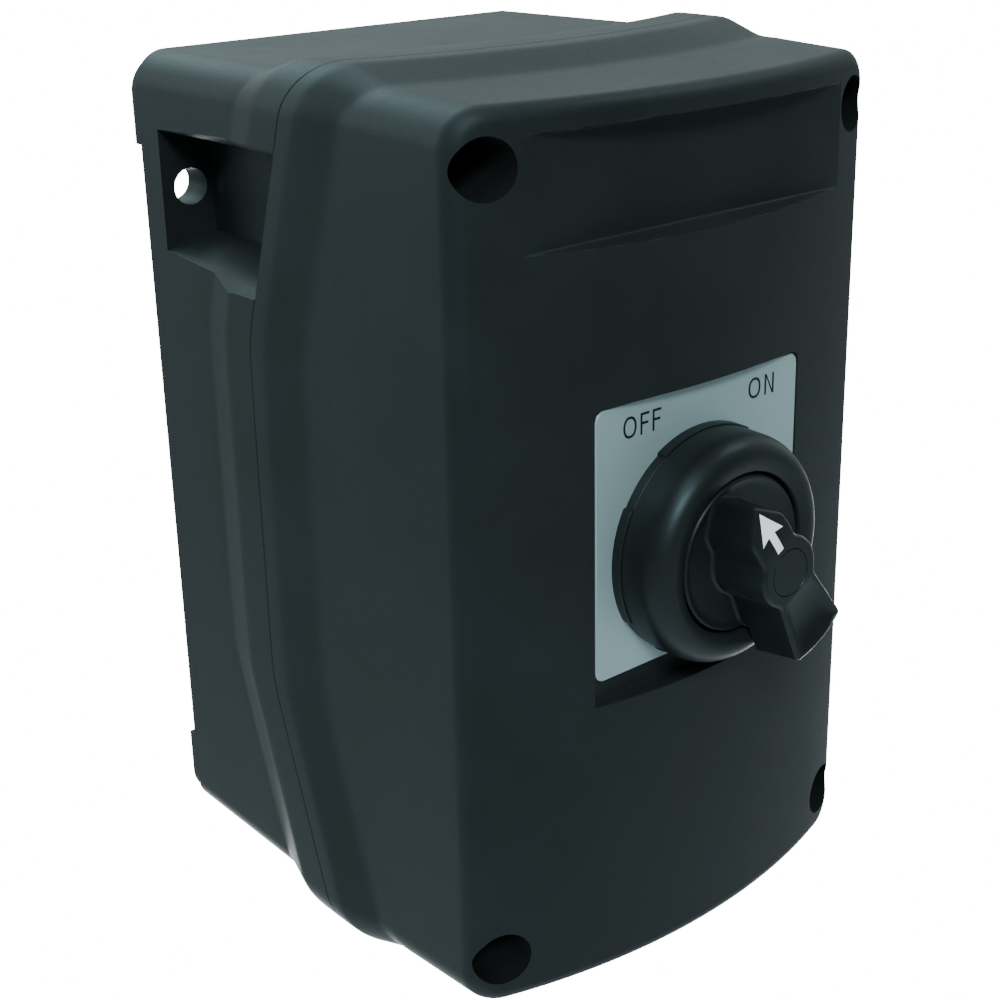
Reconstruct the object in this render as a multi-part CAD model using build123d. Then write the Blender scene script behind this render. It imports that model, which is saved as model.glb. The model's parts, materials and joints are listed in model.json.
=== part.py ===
"""Rotary isolator switch in a wall box, modelled in millimetres.

Each function models one node with X to the right, Z up, the wall at y = 0 and the front
facing -Y; the handle's axis is the Y axis. A depth d is a distance from the wall, y = -d.
write() then sets each node back by the height of the feet, so that the origin of the
finished part is in the plane of the box's back, where the two fixing holes start.
NODES at the end names the nodes and writes parts/NODE.step.
"""

import os
from math import cos, radians, sin, sqrt, tan

from build123d import *

# ---- enclosure: driving sizes ----
foot_height = 1.8            # corner feet behind the base
foot_x, foot_z, foot_half_w, foot_half_h = 43.25, 69.5, 3.25, 8.5
base_half_w, base_half_h = 46.5, 77.85   # at the back of the base
seam_half_w, seam_half_h = 47.0, 78.2    # where the base meets the rim
cover_half_w, cover_half_h = 47.6, 78.2  # cover behind the rim
front_half_w, front_half_h = 47.2, 77.6  # cover at its front
rim_half_w, rim_half_h = 50.0, 81.0
body_corner_r, rim_corner_r = 9.0, 12.0
corner_swell = (36.0, 46.0, 61.0, 71.0)  # the corners are rounder between these depths
wall = 3.2
front_d = 101.6              # crown of the front face
clear_d = 110.0              # in front of everything moulded; cutters run to here
front_r = 129.0              # the front is a cylinder about a vertical axis
front_edge_r = 4.5
# ---- the seam between base and cover ----
seam_d = 39.8                # on the rim's side face, at mid-height
straight_half_h = 32.5       # above and below this the seam leans forward
lean = 0.34
seam_gap = 0.35
rim_rear, rim_front = -8.1, 4.1      # rim band, measured from the seam
flare_rear, flare_front = -17.6, 13.0  # feet of its two slopes
# ---- front features ----
well_x, well_z, well_r = 41.6, 68.4, 4.9
well_floor_d = 64.0
column_r, pad_t = 7.0, 3.5   # column round each well; wall behind the plate's pocket
pad_half_w, pad_margin, pad_front_d = 27.0, 3.0, 98.5
label_pad_half_w = 38.5
plate_half, plate_z, plate_t, plate_corner_r = 24.0, 4.1, 1.2, 2.0
plate_d = 99.26              # front of the legend plate
plate_fit = 0.25
sill_z = -24.3               # the pocket runs on below the plate to here
label_half_w, label_z0, label_z1, label_d = 36.1, 54.65, 72.9, 96.5
# ---- wall fixings ----
ear_x, ear_z, ear_d, ear_hole_r = 40.7, 53.5, 8.45, 3.4
ear_mouth = (41.2, 66.2)     # recess between these heights at the side face
ear_floor = (44.6, 62.4)     # and between these at its inner wall
ear_inner_x, ear_wall, ear_reach_d = 36.0, 2.5, 75.0
ear_spread, ear_outside = 0.7, 6.0       # the recess as drawn on past the side face
entry_x, entry_d, entry_r = 20.0, 30.0, 10.25
# ---- cover screws ----
screw_r, screw_head_r, screw_head_t, seal_t = 1.95, 3.6, 4.0, 0.8
screw_tip_d, slot_w = 45.0, 1.0
post_r, post_way_r, cover_way_r, seal_r = 5.5, 2.6, 2.3, 4.4
insert_r, insert_bore_r, insert_d0, insert_d1 = 3.2, 2.0, 42.0, 52.0
gasket_in, gasket_w, gasket_depth = (44.8, 76.0), 1.6, 2.0
recess_rim_x, recess_stop = 47.4, 3.2    # the ear recess stops this far short of
# the seam, but outside recess_rim_x it runs on to it
# ---- handle bezel ----
hole_r = 11.15               # through the cover and the legend plate
collar_r, collar_bore_r, collar_d = 11.0, 8.05, 88.0
flange_r, lug_r, flange_t, lug_gap_deg = 20.1, 20.5, 1.85, 30.0
ring_d, ring_open_r = 110.0, 14.1
ring_side_r, ring_draft, ring_side_d = 20.2, 0.15, 105.0
ring_crown_r, ring_edge_r = 16.6, 3.6    # centre and radius of the rounded front edge
ring_dish = (15.4, 109.7)
ring_inner_d = 109.75
nut_r, nut_t, nut_seat_d = 15.0, 4.0, 95.0
# ---- handle ----
rest_deg = -30.0             # the pointer stands 30 degrees left of upright at OFF
disc_r, disc_d0, disc_d1 = 13.7, 101.6, 109.1
hub_r, hub_d = 8.0, 86.0
grip_foot_d, grip_d = 110.4, 120.0
grip_tip_z, grip_foot_tip_z, grip_flare = 14.9, 14.1, 0.55
shoulder, waist = (4.0, 9.6), (4.35, 4.9)    # (half width, height) at the front,
boss, neck, tail = (6.25, 0.5), (4.5, -4.4), (6.0, -16.4)   # with the pointer up
tail_end_z = -17.5
nose_from_z, nose_to_z, nose_fall = 6.2, 17.0, 1.5
cap_r, cap_t = 4.1, 1.6
knob_bore_r, knob_bore_d = 5.5, 106.0
knob_screw_r, knob_screw_head_r, knob_screw_seat_d = 2.0, 3.5, 112.0
arrow_t = 0.6
arrow_points = [(0, 13.6), (2.55, 8.4), (0.72, 9.0), (0.72, 5.2)]
seal_groove_r, seal_groove_d = 6.9, (92.0, 94.2)
socket_d = 98.5              # front end of the square hole in the shaft's sleeve
# ---- switch unit ----
pole_count = 4
deck_half, deck_t = 23.0, 11.0
plate_seat_d, steel_t = 8.0, 2.0
end_plate_t = 3.0
deck_d0 = plate_seat_d + steel_t + end_plate_t
index_t, index_cover_t = 12.0, 3.0
index_d0 = deck_d0 + pole_count * deck_t
index_cover_d0 = index_d0 + index_t
shaft_half, shaft_d0, shaft_d1 = 3.0, 11.0, 97.0
journal_r, journal_bore_r = 4.3, 4.35
drum_r, drum_bore_r, drum_t = 12.5, 13.3, 9.6
blade_l, blade_w, blade_t, blade_gap = 12.9, 7.0, 1.0, 2.1
tongue_t, tongue_in, tongue_w = 1.5, 9.5, 6.0
terminal_z, terminal_half_w = 31.0, 7.5
tongue_end, clamp_z, clamp_half_w, clamp_half_d = 28.5, (23.5, 29.5), 4.0, 3.5
clamp_screw_z, clamp_screw_r, clamp_head_r = 26.5, 1.6, 2.3
wire_way_r, wire_way_d = 1.3, 2.1        # the wire enters in front of the tongue
hub_core_r, groove_r = 5.6, 9.2          # the drum's middle, where blades and tongues run
cam_r, lug_off_deg, lug_to_stop_deg, throw_deg = 8.6, 68.0, 21.0, 60.0
tie_x, bolt_r, bolt_hole_r, bolt_head_r = 19.0, 2.0, 2.1, 3.5
stop_d, stop_in_r, stop_half = 7.5, 11.0, 1.6
chamber_r, wheel_hub_r, wheel_lug_r, wheel_lug_half = 14.5, 6.0, 13.8, 1.9
spring_d, spring_t, spring_half_l = (2.2, 7.0), 0.5, 17.8
# ---- mounting plate and earth bar ----
fix_x, fix_z, fix_post_r, fix_hole_r = 22.0, 50.0, 4.0, 2.2
sheet_half_w, sheet_half_h, sheet_corner_r = 28.0, 56.0, 3.0
earth_z, earth_half_w, earth_half_h, earth_t = -62.0, 6.0, 4.0, 9.0
earth_x, earth_wire_r, earth_screw_r, earth_head_r = 3.0, 1.9, 1.5, 2.4


def block(x0, x1, d0, d1, z0, z1):
    """A box between two x, two depths and two heights."""
    centre = Pos((x0 + x1) / 2, -(d0 + d1) / 2, (z0 + z1) / 2)
    return centre * Box(x1 - x0, d1 - d0, z1 - z0)


def rod(x, z, r, d0, d1):
    """A cylinder along the depth."""
    return Pos(x, -(d0 + d1) / 2, z) * Rot(90, 0, 0) * Cylinder(r, d1 - d0)


def bar(x0, x1, d, z, r):
    """A cylinder along X."""
    return Pos((x0 + x1) / 2, -d, z) * Rot(0, 90, 0) * Cylinder(r, x1 - x0)


def post(x, d, z0, z1, r):
    """A cylinder along Z."""
    return Pos(x, -d, (z0 + z1) / 2) * Cylinder(r, z1 - z0)


def tube(r_out, r_in, d0, d1, x=0, z=0):
    return rod(x, z, r_out, d0, d1) - rod(x, z, r_in, d0 - 1, d1 + 1)


def facing(d):
    """The plane at depth d seen from the front: its x is X and its y is Z."""
    return Plane(origin=(0, -d, 0), x_dir=(1, 0, 0), z_dir=(0, -1, 0))


def rounded(half_w, half_h, r, d0, d1):
    return extrude(facing(d0) * RectangleRounded(2 * half_w, 2 * half_h, r), d1 - d0)


def drafted(rear, front, r, d0, d1):
    """A rounded block that changes from the rear half sizes to the front ones."""
    ends = [
        facing(d) * RectangleRounded(2 * half[0], 2 * half[1], r)
        for half, d in ((rear, d0), (front, d1))
    ]
    return loft(ends)


def spun(points):
    """A solid of revolution about the handle's axis, from (radius, depth) points."""
    outline = [(r, -d, 0) for r, d in points]
    return revolve(make_face(Polyline(*outline, close=True)), Axis.Y)


def four(shape, x, z):
    """The same shape at the four corners (+-x, +-z)."""
    return [Pos(sx * x, 0, sz * z) * shape for sx in (-1, 1) for sz in (-1, 1)]


# ---------------------------------------------------------------- enclosure

def bow(x):
    """How far the seam stands forward of its side points, parallel to the front face."""
    return sqrt(front_r**2 - x**2) - sqrt(front_r**2 - rim_half_w**2)


def seam_at(x, z):
    return seam_d + lean * max(0.0, abs(z) - straight_half_h) + bow(x)


def bowed_edges(x, z, rear, front):
    """The closed outline at height z between two lines that follow the seam."""
    shift = lean * max(0.0, abs(z) - straight_half_h) + seam_d

    def arc(offset):
        ends = [(s * x, -(shift + offset + bow(x)), z) for s in (-1, 1)]
        return ThreePointArc(ends[0], (0, -(shift + offset + bow(0)), z), ends[1])

    back, face = arc(rear), arc(front)
    left, right = Line(back @ 0, face @ 0), Line(back @ 1, face @ 1)
    return make_face([back, right, face, left])


def between_seams(rear, front):
    """All that lies between two surfaces parallel to the seam."""
    reach, height = 60.0, 100.0 - straight_half_h
    middle = bowed_edges(reach, -straight_half_h, rear, front)
    top = bowed_edges(reach, straight_half_h, rear, front)
    return (
        Solid.extrude(middle.face(), Vector(0, 0, 2 * straight_half_h))
        + Solid.extrude(top.face(), Vector(0, -lean * height, height))
        + Solid.extrude(middle.face(), Vector(0, -lean * height, -height))
    )


def side_ridge():
    """The rim on the right side: a flat band with a slope behind and in front of it."""
    heights = (-rim_half_h, -straight_half_h, straight_half_h, rim_half_h)
    sections = []
    for x, rear, front in (
        (rim_half_w - 6, 2 * flare_rear - rim_rear, 2 * flare_front - rim_front),
        (rim_half_w, rim_rear, rim_front),
    ):
        line = [(z, seam_at(rim_half_w, z)) for z in heights]
        points = [(x, -(d + rear), z) for z, d in line]
        points += [(x, -(d + front), z) for z, d in reversed(line)]
        sections.append(make_face(Polyline(*points, close=True)))
    return loft(sections, ruled=True)


def top_ridge():
    """The rim on the top: the same band, bowed like the front face."""
    inner = bowed_edges(
        rim_half_w, rim_half_h - 6, 2 * flare_rear - rim_rear, 2 * flare_front - rim_front
    )
    return loft([inner, bowed_edges(rim_half_w, rim_half_h, rim_rear, rim_front)], ruled=True)


def corner_limit():
    """All space but the four corners, which are round: wider at the rim than elsewhere."""
    x, z = rim_half_w - rim_corner_r, rim_half_h - rim_corner_r
    radii = (body_corner_r, rim_corner_r, rim_corner_r, body_corner_r)
    spindle = [(0, 0), (body_corner_r, 0), *zip(radii, corner_swell)]
    spindle += [(body_corner_r, clear_d), (0, clear_d)]
    limit = block(-x, x, 0, clear_d, -90, 90) + block(-60, 60, 0, clear_d, -z, z)
    return limit + [Pos(sx * x, 0, sz * z) * spun(spindle) for sx in (-1, 1) for sz in (-1, 1)]


def rim():
    """The rim all round: the side and top ridges, mitred and rounded at the corners."""
    side, top = side_ridge(), top_ridge()
    sides, ends = side + mirror(side, Plane.YZ), top + mirror(top, Plane.XY)
    inside_w = block(-seam_half_w, seam_half_w, 0, clear_d, -90, 90)
    inside_h = block(-60, 60, 0, clear_d, -seam_half_h, seam_half_h)
    ring = (sides & (inside_h + ends)) + (ends & (inside_w + sides))
    return ring & corner_limit()


def front_cylinder(inset):
    return Pos(0, front_r - front_d, 0) * Cylinder(front_r - inset, 4 * rim_half_h)


def ear_recess(side, grow):
    """The scoop round a wall fixing: narrower at its inner wall than at its mouth.

    side is -1 for the upper left fixing and 1 for the lower right one. The fixing's
    floor is at ear_d; the scoop is open to the side and stops just behind the seam.
    """
    def opening(x, heights):
        z0, z1 = heights[0] - grow, heights[1] + grow
        points = [
            (x, ear_d - grow, z0), (x, ear_reach_d, z0),
            (x, ear_reach_d, z1), (x, ear_d - grow, z1),
        ]
        return make_face(Polyline(*[(px, -d, z) for px, d, z in points], close=True))

    mouth = (ear_mouth[0] - ear_spread, ear_mouth[1] + ear_spread)
    outer = opening(rim_half_w + ear_outside, mouth)
    scoop = loft([opening(ear_inner_x - grow, ear_floor), outer], ruled=True)
    stop = 0 if grow else -recess_stop
    inside = scoop & block(0, recess_rim_x, 0, 90, 0, 90) & between_seams(-150, stop)
    outside = scoop & block(recess_rim_x, 60, 0, 90, 0, 90)
    whole = inside + outside
    return mirror(whole, Plane.YZ) if side < 0 else mirror(whole, Plane.XY)


def feet():
    slab = rounded(base_half_w, base_half_h, body_corner_r, 0, foot_height + 1)
    foot = block(-foot_half_w, foot_half_w, 0, 9, -foot_half_h, foot_half_h)
    return [slab & shape for shape in four(foot, foot_x, foot_z)]


def base_box():
    """The moulded back half: tray, rim, screw posts and two wall fixings."""
    core = drafted(
        (base_half_w, base_half_h), (seam_half_w, seam_half_h), body_corner_r, foot_height, 75
    )
    core = (core + rim()) & between_seams(-150, 0)
    cavity = drafted(
        (base_half_w - wall, base_half_h - wall),
        (seam_half_w - wall, seam_half_h - wall),
        body_corner_r - wall, foot_height + wall, 76,
    )
    body = core - cavity
    for post_shape in four(rod(0, 0, post_r, foot_height, 75), well_x, well_z):
        body += post_shape & core
    for side in (-1, 1):
        body += ear_recess(side, ear_wall) & core
        body -= ear_recess(side, 0)
        body -= rod(side * ear_x, -side * ear_z, ear_hole_r, -1, 20)
    body += four(rod(0, 0, fix_post_r, foot_height, plate_seat_d), fix_x, fix_z)
    body -= four(rod(0, 0, insert_r, insert_d0, insert_d1), well_x, well_z)
    body -= four(rod(0, 0, post_way_r, insert_d1, 80), well_x, well_z)
    body -= four(rod(0, 0, bolt_r, plate_seat_d - 4, 9), fix_x, fix_z)
    body -= [post(sx * entry_x, entry_d, -80, -70, entry_r) for sx in (-1, 1)]
    body -= gasket_ring() & between_seams(-gasket_depth, 5)
    return body + feet()


def gasket_ring():
    half_w, half_h = gasket_in
    corner_r = body_corner_r - seam_half_w + half_w
    outer = rounded(half_w + gasket_w, half_h + gasket_w, corner_r + gasket_w, 0, 80)
    return outer - rounded(half_w, half_h, corner_r, -1, 81)


def lid_gasket():
    """The foam cord in the base's groove; it stands just above the seam."""
    return gasket_ring() & between_seams(-gasket_depth, 0.05)


def front_cover():
    """The moulded front half, hollow, with deep screw wells and the plate's pocket."""
    core = drafted(
        (cover_half_w, cover_half_h), (front_half_w, front_half_h), body_corner_r, 30, front_d + 2
    )
    core &= front_cylinder(0)
    core = fillet(core.edges().filter_by(lambda e: front_edge(e)), front_edge_r)
    core = (core + rim()) & between_seams(seam_gap, 200)
    cavity = rounded(cover_half_w - wall, cover_half_h - wall, body_corner_r - wall, 20, clear_d)
    body = core - (cavity & front_cylinder(wall))
    pad_z0, pad_z1 = sill_z - pad_margin, plate_z + plate_half + pad_margin
    body += core & block(-pad_half_w, pad_half_w, pad_front_d - pad_t, pad_front_d, pad_z0, pad_z1)
    label_pad_z = (label_z0 - pad_margin, cover_half_h - 2)
    label_pad_d = (label_d - wall, label_d + 0.5)
    body += core & block(-label_pad_half_w, label_pad_half_w, *label_pad_d, *label_pad_z)
    column = rod(0, 0, column_r, 40, 120)
    for column_shape in four(column, well_x, well_z):
        body += column_shape & core
    body -= four(rod(0, 0, well_r, well_floor_d, 120), well_x, well_z)
    body -= four(rod(0, 0, cover_way_r, 30, 80), well_x, well_z)
    body -= block(-label_half_w, label_half_w, label_d, clear_d, label_z0, label_z1)
    floor_d = plate_d - plate_t
    top = plate_z + plate_half + plate_fit
    half = plate_half + plate_fit
    body -= block(-half, half, floor_d, clear_d, sill_z, top)
    return body - rod(0, 0, hole_r, 80, clear_d)


def front_edge(edge):
    """True for the edges round the front face: all of the edge is in the front third."""
    return edge.bounding_box().max.Y < -85 and abs(edge.length) > 1


def legend_plate():
    """The satin plate behind the handle."""
    sheet = facing(plate_d - plate_t) * Pos(0, plate_z) * RectangleRounded(
        2 * plate_half, 2 * plate_half, plate_corner_r
    )
    return extrude(sheet, plate_t) - rod(0, 0, hole_r, 90, clear_d)


# ---------------------------------------------------------------- fasteners of the box

def screw_inserts():
    return four(tube(insert_r, insert_bore_r, insert_d0, insert_d1), well_x, well_z)


def cover_screws():
    """Captive screws with a cross slot, their heads deep in the wells."""
    head_d = well_floor_d + seal_t
    slot = block(-slot_w / 2, slot_w / 2, head_d + 2, head_d + 9, -3, 3)
    screw = rod(0, 0, screw_head_r, head_d, head_d + screw_head_t)
    screw += rod(0, 0, screw_r, screw_tip_d, head_d)
    return four(screw - slot - Rot(0, 90, 0) * slot, well_x, well_z)


def cover_screw_seals():
    return four(tube(seal_r, screw_r, well_floor_d, well_floor_d + seal_t), well_x, well_z)


def mounting_plate():
    """The steel plate that carries the switch, on four posts of the base."""
    d1 = plate_seat_d + steel_t
    sheet = rounded(sheet_half_w, sheet_half_h, sheet_corner_r, plate_seat_d, d1)
    sheet -= four(rod(0, 0, fix_hole_r, 0, 20), fix_x, fix_z)
    return sheet - four(rod(0, 0, bolt_r, 0, 20), tie_x, tie_x)


def pan_screw(length, d, r=bolt_r, head_r=bolt_head_r, head_t=2.2):
    """A slotted screw along the depth, its head's underside at depth d."""
    screw = rod(0, 0, head_r, d, d + head_t) + rod(0, 0, r, d - length, d)
    return screw - block(-slot_w / 2, slot_w / 2, d + head_t - 1, d + 9, -9, 9)


def mounting_screws():
    return four(pan_screw(5.8, plate_seat_d + steel_t), fix_x, fix_z)


def earth_terminal():
    """A brass bar on the base's floor, with two cross holes for wires."""
    base, front = foot_height + wall, foot_height + wall + earth_t
    z0, z1 = earth_z - earth_half_h, earth_z + earth_half_h
    bar_shape = block(-earth_half_w, earth_half_w, base, front, z0, z1)
    wires = [post(x, base + 3, z0 - 4, z1 + 8, earth_wire_r) for x in (-earth_x, earth_x)]
    threads = [rod(x, earth_z, earth_screw_r, base + 3, front + 1) for x in (-earth_x, earth_x)]
    return bar_shape - wires - threads


def earth_screws():
    front = foot_height + wall + earth_t
    screw = pan_screw(2.6, front, earth_screw_r, earth_head_r, 1.8)
    return [Pos(x, 0, earth_z) * screw for x in (-earth_x, earth_x)]


# ---------------------------------------------------------------- bezel of the handle

def bezel_base():
    """The flange with four lugs, and the collar that passes through the cover."""
    flange = rod(0, 0, flange_r, plate_d, plate_d + flange_t)
    half = radians(45 - lug_gap_deg / 2)
    far = 30.0
    wedge = Polyline((0, 0), (far, -far * tan(half)), (far, far * tan(half)), close=True)
    sector = extrude(facing(plate_d) * make_face(wedge), flange_t)
    lugs = rod(0, 0, lug_r, plate_d, plate_d + flange_t)
    for quarter in range(4):
        flange += lugs & (Rot(0, 90 * quarter, 0) * sector)
    collar = rod(0, 0, collar_r, collar_d, plate_d + 0.5)
    return flange + collar - rod(0, 0, collar_bore_r, 80, 120)


def bezel_ring():
    """The raised ring round the handle: straight sides, a rounded front, a dished top."""
    d0 = plate_d + flange_t
    points = [(ring_open_r, d0), (ring_side_r, d0), (ring_side_r - ring_draft, ring_side_d)]
    for step in range(1, 7):
        a = radians(15 + step * 12.5)
        r, d = ring_crown_r + ring_edge_r * cos(a), ring_d - ring_edge_r + ring_edge_r * sin(a)
        points.append((r, d))
    return spun(points + [ring_dish, (ring_open_r, ring_inner_d)])


def bezel_nut():
    """The ring nut behind the cover's wall, with two spanner slots."""
    back_d = nut_seat_d - nut_t
    nut = tube(nut_r, collar_r + 0.02, back_d, nut_seat_d)
    slot = block(nut_r - 2, nut_r + 2, back_d - 1, nut_seat_d + 1, -1.5, 1.5)
    return nut - [Rot(0, 90 * quarter, 0) * slot for quarter in range(4)]


# ---------------------------------------------------------------- handle

def grip_outline(d, tip_z, spread):
    """The grip's outline at depth d, with its pointer up: tip, waist, boss and tail."""
    right = [(x + spread, z) for x, z in (shoulder, waist, boss, neck)]
    right = [(0, tip_z), *right, (tail[0] + spread, tail[1] - spread / 2)]
    left = [(-x, z) for x, z in right]
    edges = [
        Line(right[0], right[1]), Line(right[1], right[2]),
        ThreePointArc(right[2], right[3], right[4]), Line(right[4], right[5]),
        ThreePointArc(right[5], (0, tail_end_z - spread / 2), left[5]),
        Line(left[5], left[4]), ThreePointArc(left[4], left[3], left[2]),
        Line(left[2], left[1]), Line(left[1], left[0]),
    ]
    return facing(d) * make_face(edges)


def nose_slope(thickness):
    """A slab under the grip's front that falls away towards the pointer's tip."""
    line = [(4, -grip_d), (nose_from_z, -grip_d), (nose_to_z, nose_fall - grip_d)]
    outline = [(0, y, z) for z, y in line] + [(0, y + thickness, z) for z, y in line[::-1]]
    return extrude(make_face(Polyline(*outline, close=True)), 6, dir=(1, 0, 0), both=True)


def arrow_inlay():
    """The white arrow let into the pointer's front."""
    points = arrow_points + [(-x, z) for x, z in reversed(arrow_points[1:])]
    outline = facing(grip_d - 4) * make_face(Polyline(*points, close=True))
    return Rot(0, rest_deg, 0) * (extrude(outline, 6) & nose_slope(arrow_t))


def handle_knob():
    """The turning handle: disc, grip with its pointer and tail, and a hub behind."""
    foot = grip_outline(grip_foot_d, grip_foot_tip_z, grip_flare)
    upper = loft([foot, grip_outline(grip_d, grip_tip_z, 0.0)], ruled=True)
    lower = grip_outline(disc_d0 + 1, grip_foot_tip_z, grip_flare)
    lower = extrude(lower, grip_foot_d - disc_d0 - 1) & rod(0, 0, disc_r, disc_d0, grip_foot_d)
    above = Polyline(
        (0, -grip_d, nose_from_z), (0, nose_fall - grip_d, nose_to_z),
        (0, -grip_d - 1, nose_to_z), close=True,
    )
    upper -= extrude(make_face(above), 8, dir=(1, 0, 0), both=True)
    knob = Rot(0, rest_deg, 0) * (upper + lower)
    knob += rod(0, 0, disc_r, disc_d0, disc_d1) + rod(0, 0, hub_r, hub_d, disc_d0)
    knob -= rod(0, 0, knob_bore_r, 80, knob_bore_d)
    knob -= rod(0, 0, knob_screw_r + 0.1, 100, 115)
    knob -= rod(0, 0, knob_screw_head_r + 0.1, knob_screw_seat_d, 125)
    knob -= rod(0, 0, cap_r, grip_d - cap_t, 125)
    knob -= tube(hub_r + 1, seal_groove_r, *seal_groove_d)
    return knob - arrow_inlay()


def knob_cap():
    return rod(0, 0, cap_r - 0.05, grip_d - cap_t, grip_d)


def knob_screw():
    return pan_screw(11, knob_screw_seat_d, knob_screw_r, knob_screw_head_r, 3.0)


def shaft_socket():
    """The steel sleeve in the hub that slides over the square shaft."""
    sleeve = rod(0, 0, knob_bore_r, hub_d, knob_bore_d)
    square = shaft_half + 0.08
    sleeve -= off_angle() * block(-square, square, hub_d - 1, socket_d, -square, square)
    return sleeve - rod(0, 0, knob_screw_r, 98, 110)


def shaft_seal():
    """The sealing ring in the hub's groove."""
    return tube(collar_bore_r - 0.03, seal_groove_r, *seal_groove_d)


# ---------------------------------------------------------------- switch unit

def bolt_holes(shape):
    return shape - four(rod(0, 0, bolt_hole_r, 0, 100), tie_x, tie_x)


def square_plate(d0, d1):
    return rounded(deck_half, deck_half, 2.5, d0, d1)


def end_plate():
    d0 = plate_seat_d + steel_t
    return bolt_holes(square_plate(d0, d0 + end_plate_t)) - rod(0, 0, journal_bore_r, 0, 30)


def deck_middle(pole):
    return deck_d0 + (pole + 0.5) * deck_t


def clamp_space(middle, side):
    """The room for one terminal's cage, above the chamber or below it."""
    z0, z1 = sorted(side * z for z in clamp_z)
    depths = (middle - clamp_half_d, middle + clamp_half_d)
    return block(-clamp_half_w, clamp_half_w, *depths, z0, z1)


def contact_deck(pole):
    """One pole's housing: a round chamber and a terminal box above and below."""
    d0, d1 = deck_d0 + pole * deck_t, deck_d0 + (pole + 1) * deck_t
    middle = deck_middle(pole)
    deck = bolt_holes(square_plate(d0, d1)) - rod(0, 0, drum_bore_r, d0 - 1, d1 + 1)
    for side in (-1, 1):
        z0, z1 = sorted((side * 20, side * terminal_z))
        deck += block(-terminal_half_w, terminal_half_w, d0, d1, z0, z1)
        z0, z1 = sorted((side * 10, side * tongue_end))
        half_w, half_t = tongue_w / 2, tongue_t / 2
        deck -= block(-half_w, half_w, middle - half_t, middle + half_t, z0, z1)
        deck -= clamp_space(middle, side)
        deck -= bar(clamp_half_w - 0.1, 20, middle, side * clamp_screw_z, clamp_head_r + 0.1)
        z0, z1 = sorted((side * 29, side * 33))
        deck -= post(0, middle + wire_way_d, z0, z1, wire_way_r)
    return deck


def fixed_contacts(pole):
    """Two brass tongues, from the terminals into the round chamber."""
    middle = deck_middle(pole)
    tongues = []
    for side in (-1, 1):
        z0, z1 = sorted((side * tongue_in, side * tongue_end))
        half_w, half_t = tongue_w / 2, tongue_t / 2
        tongues.append(block(-half_w, half_w, middle - half_t, middle + half_t, z0, z1))
    return tongues


def terminal_clamps(pole):
    """Steel cages that press a wire against the tongue."""
    middle = deck_middle(pole)
    cages = []
    for side in (-1, 1):
        z0, z1 = sorted(side * z for z in clamp_z)
        depths = (middle - tongue_t / 2, middle + clamp_half_d - 1)
        cage = clamp_space(middle, side) - block(-3, 3, *depths, z0 - 1, z1 + 1)
        cages.append(cage - bar(2, 5, middle, side * clamp_screw_z, clamp_screw_r))
    return cages


def terminal_screws(pole):
    """Slotted screws, reached from the right side of the unit."""
    middle = deck_middle(pole)
    screws = []
    for side in (-1, 1):
        z = side * clamp_screw_z
        screw = bar(3.0, 5.0, middle, z, clamp_screw_r) + bar(5.0, 7.0, middle, z, clamp_head_r)
        screws.append(screw - block(6.2, 9, middle - 0.4, middle + 0.4, z - 5, z + 5))
    return screws


def switch_rotor(pole):
    """The moulded drum on the shaft, slotted for the blades and grooved for the tongues."""
    middle = deck_middle(pole)
    drum = rod(0, 0, drum_r, middle - drum_t / 2, middle + drum_t / 2)
    drum -= tube(drum_r + 1, groove_r, middle - blade_gap / 2, middle + blade_gap / 2)
    slot_half = blade_gap / 2 + blade_t
    slot = block(-blade_w / 2, blade_w / 2, middle - slot_half, middle + slot_half, -15, 15)
    drum -= slot - rod(0, 0, hub_core_r, middle - 8, middle + 8)
    return drum - block(-shaft_half, shaft_half, middle - 9, middle + 9, -shaft_half, shaft_half)


def off_angle():
    """Turns the blades away from the upright tongues: they line up at ON."""
    return Rot(0, -throw_deg, 0)


def moving_contacts(pole):
    """Two spring copper blades that straddle the tongues when the switch is on."""
    middle = deck_middle(pole)
    blades = []
    for side in (-1, 1):
        d0, d1 = sorted((middle + side * blade_gap / 2, middle + side * (blade_gap / 2 + blade_t)))
        blade = block(-blade_w / 2, blade_w / 2, d0, d1, -20, 20) & rod(0, 0, blade_l, d0, d1)
        blades.append(blade - rod(0, 0, hub_core_r, d0 - 1, d1 + 1))
    return blades


def turned_rotor(pole):
    return off_angle() * switch_rotor(pole)


def turned_blades(pole):
    return [off_angle() * blade for blade in moving_contacts(pole)]


def drive_shaft():
    """The square steel shaft with a round journal at its back end."""
    square = block(-shaft_half, shaft_half, shaft_d0 + 2, shaft_d1, -shaft_half, shaft_half)
    tip = chamfer(square.faces().sort_by(Axis.Y)[0].edges(), 0.6)
    return off_angle() * tip + rod(0, 0, journal_r, shaft_d0, deck_d0)


def index_housing():
    """The housing of the click mechanism: a flat chamber with two stop blocks."""
    d1 = index_d0 + index_t
    body = bolt_holes(square_plate(index_d0, d1))
    body -= rod(0, 0, chamber_r, index_d0 + 2, d1 + 1) + rod(0, 0, 7.0, index_d0 - 1, d1)
    for side in (-1, 1):
        body -= block(side * 8 - 1, side * 8 + 1, index_d0 + 2, d1 + 1, -18, 18)
    stops = tube(chamber_r + 0.1, stop_in_r, index_d0 + stop_d, d1)
    for angle in (lug_off_deg + lug_to_stop_deg, lug_off_deg - throw_deg - lug_to_stop_deg):
        stop = block(stop_in_r - 1, 16, index_d0 + stop_d, d1, -stop_half, stop_half)
        body += stops & (Rot(0, -angle, 0) * stop)
    return body


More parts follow.
